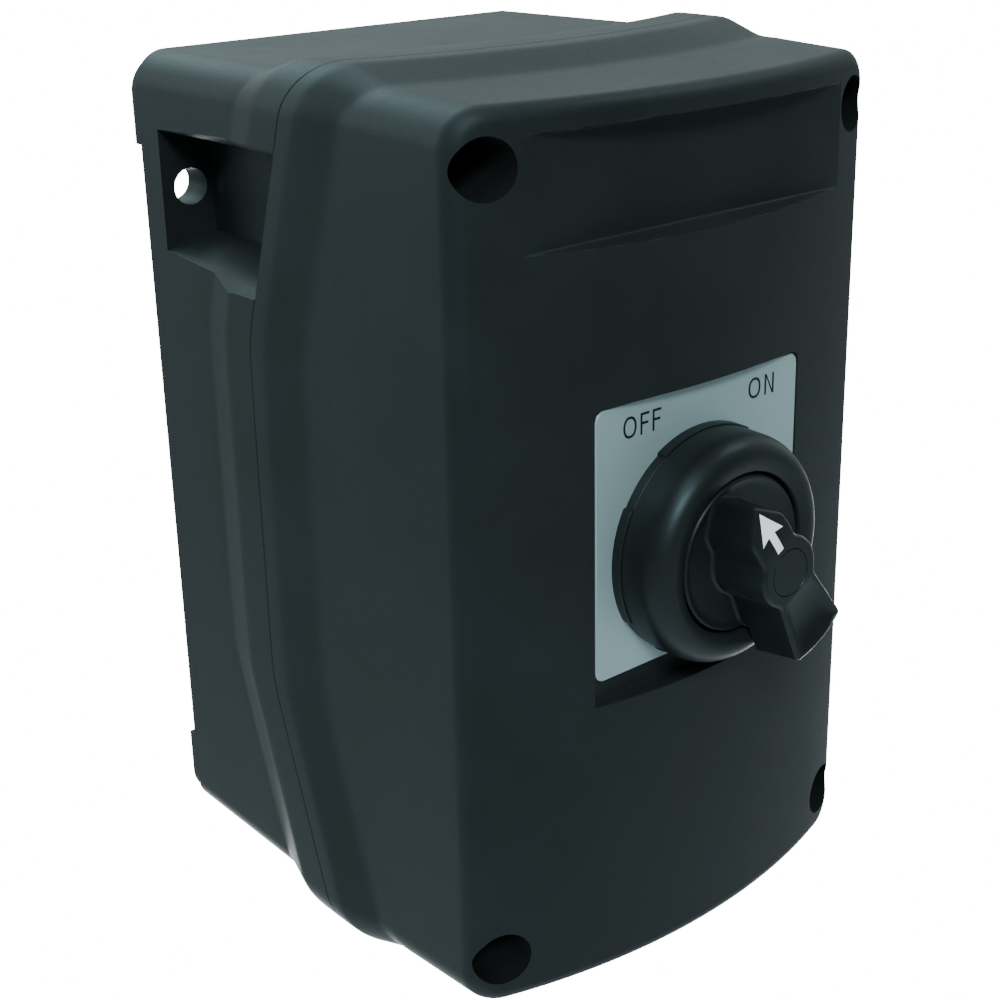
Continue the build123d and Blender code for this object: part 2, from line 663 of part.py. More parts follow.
def index_wheel():
    """The six-sided cam and its stop lug; its hub turns in the index cover."""
    cam = extrude(facing(index_d0 + 2.4) * Rot(0, 0, 30) * RegularPolygon(cam_r, 6), 4.8)
    cam &= rod(0, 0, 8.3, index_d0 + 2, index_d0 + 9)
    hub = rod(0, 0, wheel_hub_r, index_d0 + 0.3, index_cover_d0 + index_cover_t + 1.5)
    half = wheel_lug_half
    lug = block(0, wheel_lug_r, index_d0 + stop_d + 0.1, index_cover_d0 - 0.4, -half, half)
    lug &= rod(0, 0, wheel_lug_r, index_d0, index_d0 + 20)
    wheel = cam + hub + Rot(0, -lug_off_deg, 0) * lug
    square = block(-shaft_half, shaft_half, index_d0 - 1, 99, -shaft_half, shaft_half)
    return wheel - off_angle() * square


def index_springs():
    """Two leaf springs; they lie on opposite flats of the cam in each position."""
    flat = cam_r * cos(radians(30)) + 0.05
    depths = [index_d0 + d for d in spring_d]
    springs = []
    for side in (-1, 1):
        x0, x1 = sorted((side * flat, side * (flat + spring_t)))
        springs.append(block(x0, x1, *depths, -spring_half_l, spring_half_l))
    return springs


def index_cover():
    d1 = index_cover_d0 + index_cover_t
    bore = rod(0, 0, wheel_hub_r + 0.05, 0, clear_d)
    return bolt_holes(square_plate(index_cover_d0, d1)) - bore


def tie_bolts():
    """Four long screws that clamp the stack to the mounting plate."""
    front = index_cover_d0 + index_cover_t
    return four(pan_screw(front - plate_seat_d, front), tie_x, tie_x)


def shaft_clip():
    """The spring clip on the shaft, in front of the index wheel's hub."""
    d0 = index_cover_d0 + index_cover_t + 1.5
    disc = rod(0, 0, 6.5, d0, d0 + 1.0)
    square = block(-shaft_half, shaft_half, 0, 99, -shaft_half, shaft_half)
    return off_angle() * (disc - square - block(-1.5, 1.5, 0, 99, 0, 9))


NODES = {
    "base_box": base_box, "lid_gasket": lid_gasket, "screw_inserts": screw_inserts,
    "mounting_plate": mounting_plate, "mounting_screws": mounting_screws,
    "earth_terminal": earth_terminal, "earth_screws": earth_screws,
    "end_plate": end_plate, "index_housing": index_housing, "index_cover": index_cover,
    "index_springs": index_springs, "tie_bolts": tie_bolts,
    "index_wheel": index_wheel, "drive_shaft": drive_shaft, "shaft_clip": shaft_clip,
    "front_cover": front_cover, "cover_screws": cover_screws,
    "cover_screw_seals": cover_screw_seals, "legend_plate": legend_plate,
    "bezel_base": bezel_base, "bezel_ring": bezel_ring, "bezel_nut": bezel_nut,
    "handle_knob": handle_knob, "arrow_inlay": arrow_inlay, "knob_cap": knob_cap,
    "knob_screw": knob_screw, "shaft_socket": shaft_socket, "shaft_seal": shaft_seal,
}
POLE_NODES = {
    "contact_deck": contact_deck, "fixed_contacts": fixed_contacts,
    "terminal_clamps": terminal_clamps, "terminal_screws": terminal_screws,
    "switch_rotor": turned_rotor, "moving_contacts": turned_blades,
}


def write(name, shape):
    """Writes one node, a single solid or a group of like solids, from the box's back."""
    pieces = shape if isinstance(shape, list) else [shape]
    solids = [Pos(0, foot_height, 0) * solid for piece in pieces for solid in piece.solids()]
    export_step(Compound(solids) if len(solids) > 1 else solids[0], f"parts/{name}.step")


os.makedirs("parts", exist_ok=True)
for name, build in NODES.items():
    write(name, build())
for pole in range(pole_count):
    for name, build in POLE_NODES.items():
        write(f"{name}_{pole + 1}", build(pole))
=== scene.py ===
"""A rotary isolator switch: the look of each piece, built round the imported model.

Lengths are in millimetres until a mesh is made. x is to the right and z up, as in the
row frame, and a depth d is the distance from the wall, 1.8 mm behind the box's back.
"""

import json
import math

import bmesh
import bpy
import numpy as np
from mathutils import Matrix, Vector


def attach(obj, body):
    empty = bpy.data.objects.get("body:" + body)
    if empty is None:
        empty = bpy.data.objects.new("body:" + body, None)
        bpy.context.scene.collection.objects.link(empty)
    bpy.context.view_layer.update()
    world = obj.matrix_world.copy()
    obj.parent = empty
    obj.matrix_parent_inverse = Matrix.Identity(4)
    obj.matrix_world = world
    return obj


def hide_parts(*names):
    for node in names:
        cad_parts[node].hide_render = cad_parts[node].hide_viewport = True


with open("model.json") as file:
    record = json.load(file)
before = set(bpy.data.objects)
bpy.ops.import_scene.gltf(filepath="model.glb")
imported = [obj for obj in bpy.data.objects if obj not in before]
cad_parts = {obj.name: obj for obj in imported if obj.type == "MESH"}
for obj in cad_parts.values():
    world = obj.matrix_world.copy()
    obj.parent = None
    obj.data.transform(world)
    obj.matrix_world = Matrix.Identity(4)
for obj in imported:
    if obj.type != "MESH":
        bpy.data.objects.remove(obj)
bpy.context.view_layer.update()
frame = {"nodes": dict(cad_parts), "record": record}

# ================================================================ 1. rear box
# The rear half of the enclosure: a deep black tray moulded in glass-filled thermoset,
# with a rim where it meets the cover. Two scoops in its sides hold the wall screws, and
# four small feet keep its back off the wall. Everything inside is fixed to it.

FOOT, WALL = 1.8, 3.2
FRONT_R = 129.0
# Outlines, as half width, half height and corner radius: the rim, and the box's two ends.
RIM = (50.0, 81.0, 8.8)
BASE_BACK, BASE_SEAM = (46.5, 77.85, 6.4), (47.0, 78.2, 6.4)
# The seam is at SEAM_D on the side face as far as STRAIGHT from the middle, then leans.
SEAM_D, STRAIGHT, LEAN, GAP = 39.8, 32.5, 0.34, 0.14
# The rim's slopes run between these distances in front of the seam.
RISE, FALL = (-17.6, -8.1), (4.1, 13.0)
WELL_X, WELL_Z = 41.6, 68.4
BREAK, SHARP_DEG = 0.08, 35.0


def linear(code):
    """A linear RGBA colour from an sRGB hex code."""
    parts = [int(code[i : i + 2], 16) / 255 for i in (1, 3, 5)]
    return [*(c / 12.92 if c <= 0.04045 else ((c + 0.055) / 1.055) ** 2.4 for c in parts), 1.0]


def add(tree, kind, sockets=(), **settings):
    """Adds one node. sockets maps an input to a value or to another node's output."""
    made = tree.nodes.new("ShaderNode" + kind)
    for name, value in settings.items():
        setattr(made, name, value)
    for name, value in dict(sockets).items():
        if isinstance(value, bpy.types.NodeSocket):
            tree.links.new(value, made.inputs[name])
        else:
            made.inputs[name].default_value = value
    return made


def new_material(name):
    """An empty node material: its tree, its shader and the Object coordinates."""
    material = bpy.data.materials.new(name)
    material.use_nodes = True
    tree = material.node_tree
    tree.nodes.clear()
    shader = add(tree, "BsdfPrincipled")
    tree.links.new(shader.outputs[0], add(tree, "OutputMaterial").inputs["Surface"])
    return material, tree, shader, add(tree, "TexCoord").outputs["Object"]


def noise(tree, where, size_mm, detail=2.0, rough=0.5):
    """Noise between 0 and 1 whose features are about size_mm across."""
    sockets = {"Vector": where, "Scale": 1000.0 / size_mm, "Detail": detail, "Roughness": rough}
    return add(tree, "TexNoise", sockets).outputs["Fac"]


def ramp(tree, factor, low, high, start=0.3, end=0.7):
    """A value that runs from low to high as the factor runs from start to end."""
    sockets = {"Value": factor, "From Min": start, "From Max": end, "To Min": low, "To Max": high}
    return add(tree, "MapRange", sockets).outputs["Result"]


def mix(tree, factor, first, second):
    """A colour between two, by a factor."""
    made = add(tree, "Mix", data_type="RGBA")
    for index, value in ((0, factor), (6, first), (7, second)):
        if isinstance(value, bpy.types.NodeSocket):
            tree.links.new(value, made.inputs[index])
        else:
            made.inputs[index].default_value = value
    return made.outputs[2]


def finish(name, dark, light, rough, grain_mm, grain_depth, cloud_mm=18.0, metal=0.0, **shader_values):
    """A finish whose colour clouds slowly and whose surface has a fine grain.

    Colour and roughness follow a cloud of cloud_mm; the bump is a grain of grain_mm
    whose height is grain_depth in millimetres.
    """
    material, tree, shader, where = new_material(name)
    cloud = noise(tree, where, cloud_mm, 3.0)
    fine = noise(tree, where, grain_mm, 2.0)
    tint = mix(tree, ramp(tree, cloud, 0.0, 1.0), linear(dark), linear(light))
    speck = mix(tree, ramp(tree, fine, 0.0, 0.16), tint, linear(light))
    tree.links.new(speck, shader.inputs["Base Color"])
    both = add(tree, "Math", {0: cloud, 1: fine}, operation="ADD").outputs[0]
    tree.links.new(ramp(tree, both, rough[0], rough[1], 0.7, 1.3), shader.inputs["Roughness"])
    bump = add(tree, "Bump", {"Height": fine, "Distance": grain_depth / 1000, "Strength": 1.0})
    tree.links.new(bump.outputs[0], shader.inputs["Normal"])
    shader.inputs["Metallic"].default_value = metal
    for socket, value in shader_values.items():
        shader.inputs[socket.replace("_", " ")].default_value = value
    return material


def grid_faces(rows, columns, around=False):
    """Quads over a grid of points; around joins the last column to the first."""
    i, j = np.meshgrid(np.arange(rows - 1), np.arange(columns if around else columns - 1), indexing="ij")
    after = (j + 1) % columns
    quads = [i * columns + j, i * columns + after, (i + 1) * columns + after, (i + 1) * columns + j]
    return np.stack(quads, -1).reshape(-1, 4)


def mesh_piece(name, patches, material):
    """One piece from patches of (points, quads): x, d, z points in millimetres.

    Points that coincide are welded, faces are turned outward, and edges sharper than
    SHARP_DEG stay sharp. The object stays at the origin.
    """
    count, points, quads = 0, [], []
    for p, q in patches:
        points.append(np.reshape(p, (-1, 3)))
        quads.append(np.asarray(q) + count)
        count += len(points[-1])
    x, d, z = np.concatenate(points).T
    mesh = bpy.data.meshes.new(name)
    mesh.from_pydata(np.c_[x, FOOT - d, z] / 1000, [], np.concatenate(quads).tolist())
    clean = bmesh.new()
    clean.from_mesh(mesh)
    bmesh.ops.remove_doubles(clean, verts=clean.verts, dist=1e-6)
    bmesh.ops.dissolve_degenerate(clean, edges=clean.edges, dist=1e-7)
    bmesh.ops.holes_fill(clean, edges=[e for e in clean.edges if e.is_boundary], sides=0)
    bmesh.ops.recalc_face_normals(clean, faces=clean.faces)
    clean.to_mesh(mesh)
    clean.free()
    piece = bpy.data.objects.new(name, mesh)
    bpy.context.scene.collection.objects.link(piece)
    mesh.materials.append(material)
    soften(mesh)
    return piece


def soften(mesh):
    """Shades a mesh smooth, and keeps edges sharper than SHARP_DEG sharp."""
    mesh.polygons.foreach_set("use_smooth", np.ones(len(mesh.polygons), bool))
    mesh.set_sharp_from_angle(angle=math.radians(SHARP_DEG))


def combine(piece, cutter, operation):
    """Cuts the cutter from the piece, or joins it on, and keeps the result as its mesh.

    Faces that come from the cutter keep the cutter's material.
    """
    step = piece.modifiers.new("combine", "BOOLEAN")
    step.operation, step.solver, step.object = operation, "MANIFOLD", cutter
    step.material_mode = "TRANSFER"
    found = bpy.data.meshes.new_from_object(
        piece.evaluated_get(bpy.context.evaluated_depsgraph_get())
    )
    piece.modifiers.clear()
    piece.data = found
    bpy.data.objects.remove(cutter)
    soften(found)


def cells(place, counts):
    """The six faces of a unit cell as patches, each point moved by place(u, v, w)."""
    patches = []
    for axis in range(3):
        first, second = [a for a in range(3) if a != axis]
        s, t = np.meshgrid(
            np.linspace(0, 1, counts[first] + 1), np.linspace(0, 1, counts[second] + 1), indexing="ij"
        )
        for end in (0.0, 1.0):
            at = [None] * 3
            at[axis], at[first], at[second] = np.full_like(s, end), s, t
            patches.append((np.stack(place(*at), -1), grid_faces(*s.shape)))
    return patches


def bar_patches(x, d, z):
    """A plain block between two x, two depths and two heights, as patches."""
    return cells(
        lambda u, v, w: (x[0] + u * (x[1] - x[0]), d[0] + v * (d[1] - d[0]), z[0] + w * (z[1] - z[0])),
        (1, 1, 1),
    )


def spun_patches(x, z, profile, sides=64):
    """A closed solid of revolution along the depth, from (radius, depth) points, as patches."""
    turn = np.linspace(0, 2 * math.pi, sides, endpoint=False)
    r, d = (np.array(v, float)[:, None] for v in zip(*profile))
    ring = np.stack([x + r * np.cos(turn), d + 0 * turn, z + r * np.sin(turn)], -1)
    return [(ring, grid_faces(len(profile), sides, True))]


def rod_patches(x, z, radius, d0, d1):
    """A closed cylinder along the depth, as patches."""
    return spun_patches(x, z, [(0, d0), (radius, d0), (radius, d1), (0, d1)])


def soft_step(t, width):
    """Zero below zero, t above it, rounded over about width."""
    return (t + np.sqrt(t * t + width * width)) / 2


def seam(x, z):
    """Depth of the seam between box and cover, which leans forward above and below."""
    bow = np.sqrt(FRONT_R**2 - x * x) - math.sqrt(FRONT_R**2 - RIM[0] ** 2)
    return SEAM_D + LEAN * soft_step(np.abs(z) - STRAIGHT, 3.0) + bow


def swell(delta):
    """How far the rim stands out at a distance delta in front of the seam, from 0 to 1.

    It goes up over RISE and down over FALL; each bend is rounded over about a millimetre.
    """
    rise = (soft_step(delta - RISE[0], 0.5) - soft_step(delta - RISE[1], 0.9)) / (RISE[1] - RISE[0])
    fall = (soft_step(delta - FALL[0], 0.9) - soft_step(delta - FALL[1], 1.1)) / (FALL[1] - FALL[0])
    return rise - fall


def spread(*spans):
    """Increasing values from (start, end, number of steps) spans."""
    return np.unique(np.concatenate([np.linspace(a, b, n + 1) for a, b, n in spans]).round(6))


# Cuts across the sides and the ends, as shares of half their straight length. They are
# closer where the seam bends and along the edges of the front's two hollows.
SIDE, END = 71.2, 40.8
bends, edges_z = [(-38, -27, 9), (27, 38, 9)], [(54.1, 55.3, 12), (27.7, 28.9, 12), (-24.9, -23.9, 10)]
edges_x = [(-36.8, -35.8, 10), (35.8, 36.8, 10), (-24.8, -21.8, 20), (21.8, 24.8, 20)]
side_cuts = spread((-SIDE, SIDE, 60), *bends, *edges_z) / SIDE
top_cuts = spread((-END, END, 48), *edges_x) / END
turns = np.radians(np.linspace(0, 90, 25))[1:-1]


def loop_parts():
    """Centre factors and direction of each point round a rounded rectangle."""
    one, zero, s, t = np.ones_like, np.zeros_like, side_cuts, top_cuts
    cos, sin = np.cos(turns), np.sin(turns)
    rows = [
        (one(s), s, one(s), zero(s)), (one(cos), one(cos), cos, sin),
        (-t, one(t), zero(t), one(t)), (-one(cos), one(cos), -sin, cos),
        (-one(s), -s, -one(s), zero(s)), (-one(cos), -one(cos), -cos, -sin),
        (t, -one(t), zero(t), -one(t)), (one(cos), -one(cos), sin, -cos),
    ]  # fmt: skip
    return [np.concatenate(part) for part in zip(*rows)]


centre_x, centre_z, way_x, way_z = loop_parts()


def loop(size):
    """x and z round a rounded rectangle; size is half width, half height and radius.

    Each may be a column of values, one for each ring of a surface.
    """
    w, h, r = (np.atleast_1d(np.asarray(v, float))[:, None] for v in size)
    return centre_x * (w - r) + way_x * r, centre_z * (h - r) + way_z * r


def blend(first, second, share):
    """Sizes between two, one for each share."""
    return [a + (b - a) * share for a, b in zip(first, second)]


def rim_rings(deltas, core):
    """Rings round the rim: (x, d, z) at each delta, on a core of the given size."""
    share = swell(deltas)
    x, z = loop(blend(core, RIM, share))
    edge_x, edge_z = loop(RIM)
    return np.stack([x, seam(edge_x, edge_z) + deltas[:, None], z], -1)


def inset_ring(outer, ring):
    """The ring moved in towards the axis by BREAK, so that its edge is broken."""
    x, d, z = outer[:, 0] - way_x * BREAK, ring[:, 1], outer[:, 2] - way_z * BREAK
    return np.stack([x, d, z], -1)


def base_shell():
    """The tray: back face, side, rim, seam face and the inside, as one closed surface."""
    levels = spread((-20, 0, 36), (-18.6, -16.6, 8), (-9.6, -6.6, 10), (-0.4, 0, 3))
    rim = rim_rings(levels, BASE_SEAM)
    rim[-1] = inset_ring(rim[-2], rim[-1])
    share = np.linspace(0, 1, 9)[:-1]
    x, z = loop(blend(BASE_BACK, BASE_SEAM, share))
    side = np.stack([x, FOOT + (rim[0, :, 1] - FOOT) * share[:, None], z], -1)
    inner = [v - WALL for v in BASE_SEAM]
    x, z = loop(inner)
    mouth = np.stack([x, seam(x, z), z], -1)
    x, z = loop(blend([v - WALL for v in BASE_BACK], inner, np.array([1.0, 0.5, 0.06, 0.0])))
    floor = FOOT + WALL
    depth = floor + (seam(x, z) - floor) * np.array([0.999, 0.5, 0.04, 0.0])[:, None]
    rings = np.concatenate([side, rim, mouth, np.stack([x, depth, z], -1)])
    return [(rings, grid_faces(len(rings), rings.shape[1], True))]


POST_R, POST_END = 5.5, 3.4
PLATE_POSTS, PLATE_POST_R, PLATE_SEAT = (22, 50), 4.0, 8.0
# The posts stay within REACH of a point near the corner, inside the wall's outer face.
HOLD_X, HOLD_Z, REACH = 38.2, 68.6, 8.2


def corner_post(sx, sz, radius, rear, front):
    """A screw post in a corner, held inside the wall; its ends may follow the seam."""
    turn = np.linspace(0, 2 * math.pi, 48, endpoint=False)
    x, z = WELL_X + radius * np.cos(turn) - HOLD_X, WELL_Z + radius * np.sin(turn) - HOLD_Z
    reach = np.where((x > 0) & (z > 0), np.minimum(1, REACH / np.maximum(np.hypot(x, z), 0.1)), 1)
    x, z = np.minimum(x * reach, REACH + 0.1) + HOLD_X, np.minimum(z * reach, REACH) + HOLD_Z
    x, z = sx * x, sz * z
    rear_d, front_d = (np.broadcast_to(end(x, z), x.shape) for end in (rear, front))
    mid_x, mid_z = np.full_like(x, sx * WELL_X), np.full_like(z, sz * WELL_Z)
    rings = [(mid_x, rear_d, mid_z), (x, rear_d, z), (x, front_d, z), (mid_x, front_d, mid_z)]
    points = np.stack([np.stack(ring, -1) for ring in rings])
    points[0, :, 1], points[-1, :, 1] = rear_d.mean(), front_d.mean()
    return [(points, grid_faces(4, len(turn), True))]


FIX_X, FIX_Z, FIX_R = 40.7, 53.5, 3.4
SCOOP_X, SCOOP_D, SCOOP_LOW, SCOOP_UP = 36.0, 8.45, 44.6, 62.4
SCOOP_WALL = 2.4


def scoop(side, grow, name):
    """The hollow round a wall fixing: a funnel whose mouth rolls out into the side.

    side is -1 for the upper left one and 1 for the lower right. Its floor is a plane
    near the back and it stops 3.2 behind the seam, but runs on to it at the rim's face.
    z_low and z_up are its walls. With grow it is the block that the funnel is cut from.
    """

    def place(u, v, w):
        x = SCOOP_X - grow + u * ((9.8 if grow else 15.5) + grow)
        rear = SCOOP_D - 1.5 * grow
        height = SCOOP_LOW + (SCOOP_UP - SCOOP_LOW) * w
        front = seam(np.minimum(x, 47.0), height) + np.where(x > 47.4, 0.2, -3.2) + grow
        d = rear + v * (front - rear)
        surface = 46.6 + 3.4 * swell(d - seam(RIM[0] + 0 * x, height))
        roll = (0.3 + 1.2 * np.clip((d - 9.0) / 26.0, 0, 1)) * (0 if grow else 1)
        flare = roll * np.exp((np.minimum(x, surface + 0.7) - surface) / 2.1)
        slope = np.clip((x - SCOOP_X) / 10.7, 0, 2)
        z_low = SCOOP_LOW - grow - 1.9 * slope**1.5 - flare
        z_up = SCOOP_UP + grow + 2.0 * slope**1.5 + flare
        z = z_low + w * (z_up - z_low)
        return side * x, d, -side * z

    return mesh_piece(name, cells(place, (34, 26, 8)), shell)


# Black glass-filled thermoset from a spark-eroded mould: fine grained, with a cool, dull sheen.
SHEEN = {"Specular_IOR_Level": 0.2, "Specular_Tint": linear("#c3e4e9")}
shell = finish("thermoset_black", "#121314", "#17191a", (0.50, 0.58), 0.55, 0.010, **SHEEN)
base = mesh_piece("base_shell", base_shell(), shell)

CORNERS = [(sx, sz) for sx in (-1, 1) for sz in (-1, 1)]
posts, plate_posts = [], []
for sx, sz in CORNERS:
    posts += corner_post(sx, sz, POST_R, lambda x, z: POST_END + 0 * x, seam)
    x, z = sx * PLATE_POSTS[0], sz * PLATE_POSTS[1]
    plate_posts += rod_patches(x, z, PLATE_POST_R, POST_END, PLATE_SEAT)
combine(base, mesh_piece("posts", posts + plate_posts, shell), "UNION")
for side in (-1, 1):
    combine(base, scoop(side, SCOOP_WALL, "scoop_wall"), "UNION")
for side in (-1, 1):
    combine(base, scoop(side, 0.0, "scoop"), "DIFFERENCE")


def foot_patches(sx, sz):
    """A foot behind a corner: it follows the box's outline and is FOOT high."""
    x0, z0, x1, z1, r = 40.0, 61.0, BASE_BACK[0], BASE_BACK[1] - 1.2, BASE_BACK[2]
    arc = np.radians(np.linspace(0, 90, 17))
    line = [(x0, z0), (x1, z0), *zip(x1 - r + r * np.cos(arc), z1 - r + r * np.sin(arc)), (x0, z1)]
    x, z = np.array(line).T
    middle = 43.0 + 0 * x, 69.0 + 0 * z
    rings = [(*middle, 0.0), (x, z, 0.0), (x, z, FOOT + 0.5), (*middle, FOOT + 0.5)]
    points = np.stack([np.stack([sx * a, d + 0 * a, sz * b], -1) for a, b, d in rings])
    return [(points, grid_faces(4, len(x), True))]


feet = [p for sx, sz in CORNERS for p in foot_patches(sx, sz)]
combine(base, mesh_piece("feet", feet, shell), "UNION")


GROOVE, GROOVE_W, GROOVE_DEPTH = (44.8, 76.0, 6.8), 1.6, 2.0
ENTRY_X, ENTRY_D, ENTRY_R = 20.0, 30.0, 10.25
INSERT_R, INSERT_D = 3.25, 41.9


def groove_patches():
    """A closed ring round the seam face, from the groove's floor to just past the seam."""
    rings = []
    width, floor = GROOVE_W, -GROOVE_DEPTH
    for grow, level in ((0, floor), (width, floor), (width, 1.0), (0, 1.0)):
        x, z = loop([v + grow for v in GROOVE])
        rings.append(np.stack([x[0], seam(x[0], z[0]) + level, z[0]], -1))
    points = np.stack([*rings, rings[0]])
    return [(points, grid_faces(5, points.shape[1], True))]


def entry_patches(x, z0, z1):
    """A closed upright cylinder through the bottom wall, for a cable entry."""
    turn = np.linspace(0, 2 * math.pi, 64, endpoint=False)
    r = np.array([0.0, ENTRY_R, ENTRY_R, 0.0])[:, None]
    z = np.array([z0, z0, z1, z1])[:, None] + 0 * turn
    ring = np.stack([x + r * np.cos(turn), ENTRY_D + r * np.sin(turn), z], -1)
    return [(ring, grid_faces(4, 64, True))]


holes = [p for side in (-1, 1) for p in rod_patches(side * FIX_X, -side * FIX_Z, FIX_R, -1, 12)]
for sx, sz in CORNERS:
    holes += rod_patches(sx * WELL_X, sz * WELL_Z, INSERT_R, INSERT_D, 80.0)
for side in (-1, 1):
    holes += entry_patches(side * ENTRY_X, -82.0, -70.0)
combine(base, mesh_piece("holes", holes, shell), "DIFFERENCE")
combine(base, mesh_piece("groove", groove_patches(), shell), "DIFFERENCE")
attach(base, "base")
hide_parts("base_box")

# ================================================================ 2. front cover
# The front half, moulded in the same black thermoset as the rear box. Its front is part
# of a cylinder, with a flat recess for a label near the top and a pocket for the legend
# plate; four deep wells in the corners take the screws that hold it to the rear box.

COVER_SEAM, COVER_FRONT = (47.6, 78.2, 6.4), (47.2, 77.6, 6.4)
CROWN_D, EDGE_R, INNER_R = 101.6, 2.8, 1.2
# Each hollow: half width, lower and upper edge, floor, edge rounding and corner radius.
LABEL, POCKET = (36.1, 54.8, 72.75, 96.5, 0.10, 0.3), (24.1, -24.1, 28.2, 98.06, 0.12, 2.1)
STEEP, HOLE_R, COLUMN_R = 9.0, 11.15, 7.0
# A well, as radius and depth: the screw's clearance hole, then the wide bore in front.
WELL = [(0, 30), (2.3, 30), (2.3, 64), (4.9, 64), (4.9, 112), (0, 112)]


def front(x):
    """Depth of the cylindrical front."""
    return CROWN_D - FRONT_R + np.sqrt(FRONT_R**2 - x * x)


def lowest(a, b, width):
    """The smaller of two depths, rounded over where they meet."""
    return b - soft_step(b - a, width)


def hollow(x, z, shape, grow):
    """Depth of a flat-floored hollow, widened by grow: its floor, and steep walls round it."""
    half_w, z0, z1, floor_d, fillet, corner = shape
    out_x, out_z = np.abs(x) - (half_w + grow) + corner, z - (z1 + grow) + corner
    top = np.hypot(np.maximum(out_x, 0), np.maximum(out_z, 0)) + np.minimum(np.maximum(out_x, out_z), 0)
    return floor_d + STEEP * soft_step(np.maximum(top - corner, z0 - grow - z), fillet)


def face_depth(x, z, grow=0.0):
    """Depth of the front with its label recess and plate pocket, each widened by grow."""
    d = lowest(front(x), hollow(x, z, LABEL, grow), 0.30)
    return lowest(d, hollow(x, z, POCKET, grow), 0.18)


def edge_rings(angles, inset, depth_at, sizes):
    """Rings over the front edge, from the side wall (0) to the front face (90 degrees)."""
    turn = inset * (1 - np.cos(angles))
    x, z = loop([v - turn for v in sizes])
    return np.stack([x, depth_at(x, z) - inset * (1 - np.sin(angles))[:, None], z], -1)


def face_patch(sizes, depth_at, columns, rows):
    """The face inside a rounded rectangle: a grid whose ends follow the corners."""
    w, h, r = sizes
    outer = spread((w - r, w, 5))
    across = np.concatenate([-outer[:0:-1], columns, outer[1:]])
    up = np.concatenate([rows, h - r + r * np.sin(turns), [h]])
    up = np.concatenate([-up[: len(rows) - 1 : -1], up])
    u, z = np.meshgrid(across, up)
    reach = w - r + np.sqrt(np.maximum(r * r - np.maximum(np.abs(z) - (h - r), 0) ** 2, 0))
    share = np.clip((np.abs(u) - (w - r)) / r, 0, None)
    x = np.where(share > 0, np.sign(u) * (w - r + share * (reach - (w - r))), u)
    return np.stack([x, depth_at(x, z), z], -1), grid_faces(*x.shape)


def cover_shell():
    """The cover: rim, side, rounded edge, front face and the inside, closed."""
    levels = GAP + spread((0, 17, 44), (0, 0.3, 3), (2.6, 6.0, 8), (10.5, 15, 10))
    rim = rim_rings(levels, COVER_SEAM)
    rim[0] = inset_ring(rim[1], rim[0])
    edge = edge_rings(np.radians(np.linspace(0, 90, 15)), EDGE_R, face_depth, COVER_FRONT)
    share = np.linspace(0, 1, 14)[1:-1]
    x, z = loop(blend(COVER_SEAM, COVER_FRONT, share))
    side = np.stack([x, rim[-1, :, 1] + (edge[0, :, 1] - rim[-1, :, 1]) * share[:, None], z], -1)
    w, h, r = COVER_FRONT
    flat = (w - EDGE_R, h - EDGE_R, r - EDGE_R)
    face = face_patch(flat, face_depth, top_cuts * (w - r), side_cuts * (h - r))
    inner = [v - WALL for v in COVER_SEAM]

    def ceiling(x, z):
        return face_depth(x, z, 2.4) - WALL

    x, z = loop(inner)
    mouth = np.stack([x, seam(x, z) + GAP, z], -1)
    top = np.stack([x, ceiling(x, z) - INNER_R, z], -1)
    rise = mouth + (top - mouth) * np.linspace(0, 1, 6)[1:, None, None]
    bend = edge_rings(np.radians(np.linspace(0, 90, 7)), INNER_R, ceiling, inner)
    small, straight = [v - INNER_R for v in inner], (inner[0] - inner[2], inner[1] - inner[2])
    roof = face_patch(small, ceiling, top_cuts * straight[0], side_cuts * straight[1])
    rings = np.concatenate([bend[::-1], rise[::-1][1:], mouth, rim, side, edge])
    return [(rings, grid_faces(len(rings), rings.shape[1], True)), face, roof]


cover = mesh_piece("cover_shell", cover_shell(), shell)
wells = rod_patches(0, 0, HOLE_R, 80, 112)
for sx, sz in CORNERS:
    column = corner_post(sx, sz, COLUMN_R, lambda x, z: seam(x, z) + 0.6, lambda x, z: front(x) - 2.0)
    combine(cover, mesh_piece("column", column, shell), "UNION")
    wells += spun_patches(sx * WELL_X, sz * WELL_Z, WELL, 96)
# The same thermoset, painted darker in the wells as painted shade, so that the bores stay black; rough and
# dull there as the mould's core pins leave it.
wells_painted_shade = finish("thermoset_wells_painted_shade", "#0c0d0e", "#0f1011", (0.75, 0.85), 0.55, 0.02, Specular_IOR_Level=0.1)
combine(cover, mesh_piece("wells", wells, wells_painted_shade), "DIFFERENCE")
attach(cover, "cover")
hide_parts("front_cover")

# ================================================================ 3. legend plate
# A square plate of satin anodised aluminium, 1.2 thick, let into the cover's front. The
# handle's bezel clamps it round the hole in its middle.

PLATE, PLATE_Z, PLATE_D0, PLATE_D1 = (24.0, 24.0, 2.0), 4.1, 98.06, 99.26


def plate_patches():
    """Rings from the hole's edge to the plate's edge, front and back, with broken edges."""
    x, z = (v[0] for v in loop(PLATE))
    z = z + PLATE_Z
    span = np.hypot(x, z)
    hole = np.stack([x, z]) / span
    edge = np.stack([x, z])
    centre = np.array([[0.0], [PLATE_Z]])
    bevel = 0.18
    lines = [
        (hole * HOLE_R, PLATE_D0), (hole * HOLE_R, PLATE_D1 - bevel), (hole * (HOLE_R + bevel), PLATE_D1),
        (centre + (edge - centre) * (1 - bevel / PLATE[0]), PLATE_D1), (edge, PLATE_D1 - bevel),
        (edge, PLATE_D0), (hole * HOLE_R, PLATE_D0),
    ]  # fmt: skip
    points = np.stack([np.stack([ring[0], d + 0 * x, ring[1]], -1) for ring, d in lines])
    return [(points, grid_faces(len(lines), len(x), True))]


